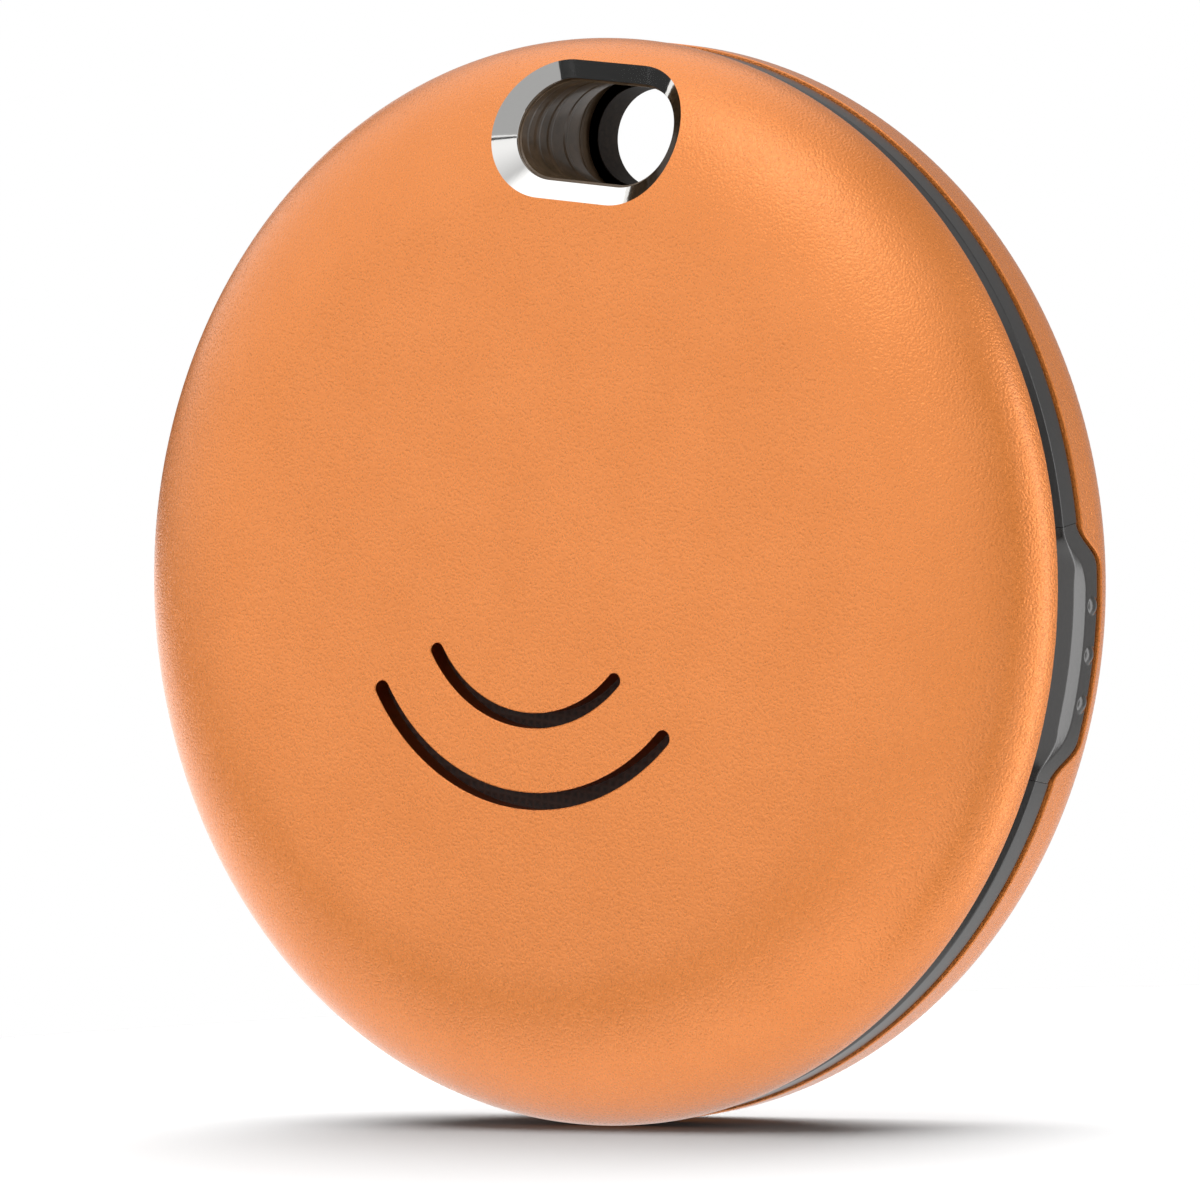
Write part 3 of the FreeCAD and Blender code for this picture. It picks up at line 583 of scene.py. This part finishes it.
def press_pad():
    """Sections (radius, y) that change along the button: the band's section at the ends, a wide
    chamfer and bevel in the middle. Bumps raise the outer face by height * (1 - (d / radius)^2)."""
    z = np.linspace(-1, 1, 221) * button_wide
    widen, bevel = 1 - eased(np.abs(z), *chamfer_fade), 1 - eased(np.abs(z), *bevel_fade)
    rear, flat = pad_rear(z), np.ones_like(z)
    front = band_front + 0.05 * widen
    chamfer_r, chamfer_y = band_outer - bevel_rise * bevel, band_front + band_corner + chamfer_back * widen
    corners = np.array([(pad_seat * flat, front), (band_outer - band_corner - chamfer_in * widen, front),
                        (chamfer_r, chamfer_y),
                        (band_outer * flat, chamfer_y + bevel_gain + bevel_width * bevel),
                        (band_outer * flat, rear - pad_rear_corner),
                        (band_outer * flat - pad_rear_corner, rear), (pad_seat * flat, rear)])
    sections = softened(np.moveaxis(corners, 1, -1), pad_softening)
    # Each corner is now three points, so the outer face runs from point 11 to point 12.
    steps = np.linspace(0, 1, 26)[1:-1, None, None]
    outer_face = sections[11] * (1 - steps) + sections[12] * steps
    sections = np.concatenate([sections[:12], outer_face, sections[12:]])
    radius, y = np.moveaxis(sections, -1, 0)
    place = z / button_wide * button_side(y)
    bump_y = (chamfer_y.max() + bevel_gain + bevel_width + button_rear) / 2
    from_bump = [np.hypot(place - k * bump_pitch, y - bump_y) / bump_radius for k in (-1, 0, 1)]
    raised = bump_height * sum(np.clip(1 - d * d, 0, 1) for d in from_bump)
    radius = radius + raised * (radius > band_outer - 0.005)
    angle = np.arcsin(place / radius)
    grid = np.stack([radius * np.cos(angle), y, radius * np.sin(angle)], -1).swapaxes(0, 1)
    return [wall_patch(grid, 0, 1), end_patch(grid[0], (0, 0, -1.0), 0), end_patch(grid[-1], (0, 0, 1.0), 0)]


build_piece("press_pad", press_pad(), [pad_rubber], "button", ["side_button"])
# Moulded nylon: black satin, polished a little where it slides.
coat(speckled("nylon_stem_moulded_black", "#1B1B1B", "#272727", 0.0, 0.45, 0.1, 0.005), "button_stem")

# ---------------------------------------------------------------- back liner
# A disc with a short skirt, moulded in ABS, which stiffens the back shell. It is stuck into the
# shell with the thin back adhesive.

# Moulded ABS: dark grey satin with the mould's fine texture.
coat(speckled("abs_moulded_dark_grey", "#2B2B2D", "#353538", 0.0, 0.5, 0.12, 0.008), "back_liner")

# ---------------------------------------------------------------- back shell
# The other half of the case: the same blasted orange aluminium, pressed into a shallow cup with
# a small round edge and notched for the button. It snaps on and comes off to change the cell.
back_edge, back_face = (1000 * corner.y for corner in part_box("back_shell"))
back_flat, back_round = 14.3, (0.7, 1.15)
back_inner_flat, back_inner_round = 14.1, (0.3, 0.55)
back_key_chamfer = 0.25
back_key_clear, back_key_inner_clear = 1.76, 1.52


def back_cup():
    """Outer and inner faces lifted from their flat patterns, joined at the open edge, which rises
    over the button, and through the key hole. Pattern distance from y is worked back from the
    ellipse: angle = acos(1 - drop / depth)."""
    near_button = np.radians(np.linspace(-16, 16, 241)) % (2 * np.pi)
    angles = np.unique(np.round(np.concatenate([rim_angles, near_button]), 6))
    faces, edges = [], []
    for flat, (width, depth), level in ((back_flat, back_round, back_face),
                                        (back_inner_flat, back_inner_round, back_face - face_wall)):
        lift, _, end = rolled(flat, width, depth, level, -1)
        edge = np.maximum(back_edge, pad_rear((flat + width) * np.sin(angles), joint_line))
        edges.append(np.where(np.cos(angles) > 0.9, edge, back_edge))
        drop = level - edges[-1] - edge_break
        turn = np.arccos(np.clip(1 - drop / depth, 0, 1)) * 2 / np.pi
        reach = flat + (end - flat) * turn + np.maximum(drop - depth, 0)
        faces.append((lift, circle(reach, angles), reach.max()))
    rings = [(r, 360) for r in np.linspace(back_flat, faces[0][2], 22)[:-1]]
    flat_rings = level_rings(np.linspace(0.5, back_flat - 0.3, 18), 12)
    key_outer, key_inner = grown(key_line, key_radius + back_key_chamfer), grown(key_line, key_radius)
    inner_rings = level_rings(np.linspace(0.5, faces[1][2], 30)[:-1], 12)
    patches = [face_patch(faces[0][0], faces[0][1], [key_outer], [grown(key_line, back_key_clear)],
                          flat_rings + rings, 0, 1),
               face_patch(faces[1][0], faces[1][1], [key_inner], [grown(key_line, back_key_inner_clear)],
                          inner_rings, 0, -1)]
    top, foot = upright(key_outer, back_face), upright(key_inner, back_face - face_wall)
    throat = upright(key_inner, back_face - back_key_chamfer)
    patches += [wall_patch([top, throat], 1, -1), wall_patch([throat, foot], 1, -1)]
    outer_loop, inner_loop = (lift(loop)[0] for lift, loop, _ in faces)
    outer_radius, inner_radius = (np.hypot(loop[:, 0], loop[:, 2]) for loop in (outer_loop, inner_loop))
    steps = [outer_loop, round_points(outer_radius - edge_break, edges[0], angles),
             round_points(inner_radius + edge_break, edges[1], angles), inner_loop]
    patches += [wall_patch(pair, 0, 1) for pair in zip(steps, steps[1:])]
    return patches


build_piece("back_cup", back_cup(), [anodised, bright_cut], "back_cover", ["back_shell"])

# ---------------------------------------------------------------- studio
# The tag stands on its rim on a plain floor in front of white, turned a little about its axis.
# Light comes from all round, more of it from above the front. Dark cards and one light strip,
# which only reflections and bounced light see, stand where the metal and rubber need them.
spin = np.radians(10.0)
floor_radius, floor_points = 0.052, 96
floor_drop = 0.01501
floor_up = np.array([-np.sin(spin), 0.0, np.cos(spin)])
floor_side = np.array([np.cos(spin), 0.0, np.sin(spin)])
floor_mesh = bpy.data.meshes.new("studio_floor")
floor_edge = circle(floor_radius, np.linspace(0, 2 * np.pi, floor_points + 1)[:-1])
floor_corners = floor_edge @ np.array([floor_side, [0.0, 1.0, 0.0]]) - floor_drop * floor_up
floor_mesh.from_pydata(floor_corners, [], [list(range(floor_points))])
studio_floor = bpy.data.objects.new("studio_floor", floor_mesh)
bpy.context.collection.objects.link(studio_floor)
studio_floor.visible_glossy = False

# Painted board: mid grey and dead matt, with a fine tooth. Its own lamp brings it up to near white.
floor_paint, shader, place = new_finish("painted_board_matt_mid_grey", "#616161", 0.0, 0.9)
paper = add_node(floor_paint, "ShaderNodeTexNoise", {"Scale": 900.0}, {"Vector": place})
tooth = add_node(floor_paint, "ShaderNodeBump", {"Strength": 0.05, "Distance": 0.00005},
                 {"Height": paper.outputs["Fac"]})
floor_paint.node_tree.links.new(tooth.outputs["Normal"], shader.inputs["Normal"])
floor_mesh.materials.append(floor_paint)

# This wide lamp above and behind lights the floor only. The tag still shades the floor from it,
# which gives the soft shadow at its foot.
lamp_tilt, lamp_side = np.radians(18), np.array([-0.57, 0.82, 0.0])
top_light = bpy.data.lights.new("top_light", "SUN")
top_light.energy, top_light.angle = 32.0, np.radians(84)
top_lamp = bpy.data.objects.new("top_light", top_light)
top_lamp.rotation_mode = "QUATERNION"
lamp_way = np.cos(lamp_tilt) * floor_up + np.sin(lamp_tilt) * lamp_side
top_lamp.rotation_quaternion = Vector(lamp_way).to_track_quat("Z", "Y")
bpy.context.collection.objects.link(top_lamp)
top_lamp.visible_glossy = False
lit_by_lamp = bpy.data.collections.new("lit_by_lamp")
lit_by_lamp.objects.link(studio_floor)
top_lamp.light_linking.receiver_collection = lit_by_lamp

card_reach, card_rows = 0.4, 30


def card(name, path, half_width, strength):
    """A strip of card on a sphere round the tag. It follows a path of azimuths and heights in
    degrees; each edge lies tan(half width) to one side of the path, square to it."""
    steps = np.linspace(0, len(path) - 1, card_rows)
    turn, rise = (np.radians(np.interp(steps, range(len(path)), column)) for column in zip(*path))
    ways = np.column_stack([np.sin(turn) * np.cos(rise), -np.cos(turn) * np.cos(rise), np.sin(rise)])
    across = np.cross(ways, np.gradient(ways, axis=0))
    across *= np.tan(np.radians(half_width)) / np.linalg.norm(across, axis=1, keepdims=True)
    mesh = bpy.data.meshes.new(name)
    index = np.arange(card_rows - 1)
    corners = np.column_stack([index, index + 1, index + 1 + card_rows, index + card_rows])
    mesh.from_pydata(np.concatenate([ways - across, ways + across]) * card_reach, [], corners.tolist())
    paper, shader = new_finish(name, "#000000", 0.0, 1.0)[:2]
    shader.inputs["Specular IOR Level"].default_value = 0.0
    shader.inputs["Emission Color"].default_value = (1.0, 1.0, 1.0, 1.0)
    shader.inputs["Emission Strength"].default_value = strength
    mesh.materials.append(paper)
    piece = bpy.data.objects.new(name, mesh)
    bpy.context.collection.objects.link(piece)
    piece.visible_camera = piece.visible_shadow = False


card("grey_card", [(-10, -22), (4, -20), (19, -14), (30, -9), (37, -3), (43, 4), (48, 14), (50.5, 26),
                   (50.7, 38)], 5, 0.42)
card("black_card_left", [(-9, -22), (-20, -23), (-38, -24), (-52, -19), (-66, -15), (-80, -10), (-95, -4),
                         (-110, 1), (-121, 7), (-119, 15), (-113, 24)], 5.5, 0.03)
card("black_card_low", [(-136, 0), (-118, 0), (-96, -5)], 5, 0.03)
card("black_card_right", [(58, -52), (58, -38), (61, -22), (65, -6), (66, 10), (66, 26), (66, 42)], 8, 0.05)
card("black_card_edge", [(40, 42), (60, 39)], 1, 0.05)
card("strip_light", [(114, -40), (113, 0), (112, 40)], 8, 3.6)

# The level of the light in each direction: even all round, then eased towards its own value within
# the outer angle of each (azimuth, height, inner angle, outer angle, level). The camera sees white.
studio = bpy.data.worlds.new("studio_cards")
studio.use_nodes = True
bpy.context.scene.world = studio
way = add_node(studio, "ShaderNodeTexCoord").outputs["Generated"]
level = add_node(studio, "ShaderNodeValue")
level.outputs[0].default_value = 1.0
level = level.outputs[0]
for azimuth, height, inner, outer, strength in (
        (180, 50, 40, 75, 0.4), (-14, 46, 6, 20, 3.0), (-98, 60, 20, 40, 1.3), (145, 0, 12, 26, 0.5),
        (0, -75, 30, 58, 1.45), (-35, 4, 10, 34, 1.1), (-112, -14, 12, 36, 1.5)):
    a, e = np.radians(azimuth), np.radians(height)
    axis = (np.sin(a) * np.cos(e), -np.cos(a) * np.cos(e), np.sin(e))
    near = add_node(studio, "ShaderNodeVectorMath", {"operation": "DOT_PRODUCT", 1: axis}, {0: way})
    share = add_node(studio, "ShaderNodeMapRange",
                     {"interpolation_type": "SMOOTHSTEP", "From Min": float(np.cos(np.radians(outer))),
                      "From Max": float(np.cos(np.radians(inner)))}, {"Value": near.outputs["Value"]})
    mixed = add_node(studio, "ShaderNodeMix", {3: strength}, {0: share.outputs["Result"], 2: level})
    level = mixed.outputs[0]
cards = add_node(studio, "ShaderNodeBackground", {"Color": (1.0, 1.0, 1.0, 1.0)}, {"Strength": level})
plain = add_node(studio, "ShaderNodeBackground", {"Color": (1.0, 1.0, 1.0, 1.0), "Strength": 1.0})
seen = add_node(studio, "ShaderNodeLightPath").outputs["Is Camera Ray"]
joined = add_node(studio, "ShaderNodeMixShader", links={0: seen, 1: cards.outputs[0], 2: plain.outputs[0]})
studio.node_tree.links.new(joined.outputs[0], studio.node_tree.nodes["World Output"].inputs["Surface"])

# The camera: a long lens, a little above the middle of the tag and off to its right.
bpy.context.scene.view_settings.view_transform = "Standard"
bpy.context.scene.view_settings.look = "None"
azimuth, height, roll, distance = np.radians(34.72), np.radians(4.95), np.radians(5.72), 0.15
back = Vector((np.sin(azimuth) * np.cos(height), -np.cos(azimuth) * np.cos(height), np.sin(height)))
level_right = Vector((np.cos(azimuth), np.sin(azimuth), 0))
level_up = back.cross(level_right)
right = np.cos(roll) * level_right + np.sin(roll) * level_up
camera_data = bpy.data.cameras.new("camera")
camera_data.lens, camera_data.sensor_width = 162.6, 36.0
camera_data.shift_x, camera_data.shift_y = 0.0058, -0.0149
camera_data.clip_start, camera_data.clip_end = 0.01, 5.0
camera = bpy.data.objects.new("camera", camera_data)
turned_to_tag = Matrix((right, back.cross(right), back)).transposed().to_4x4()
camera.matrix_world = Matrix.Translation(back * distance) @ turned_to_tag
bpy.context.collection.objects.link(camera)
bpy.context.scene.camera = camera
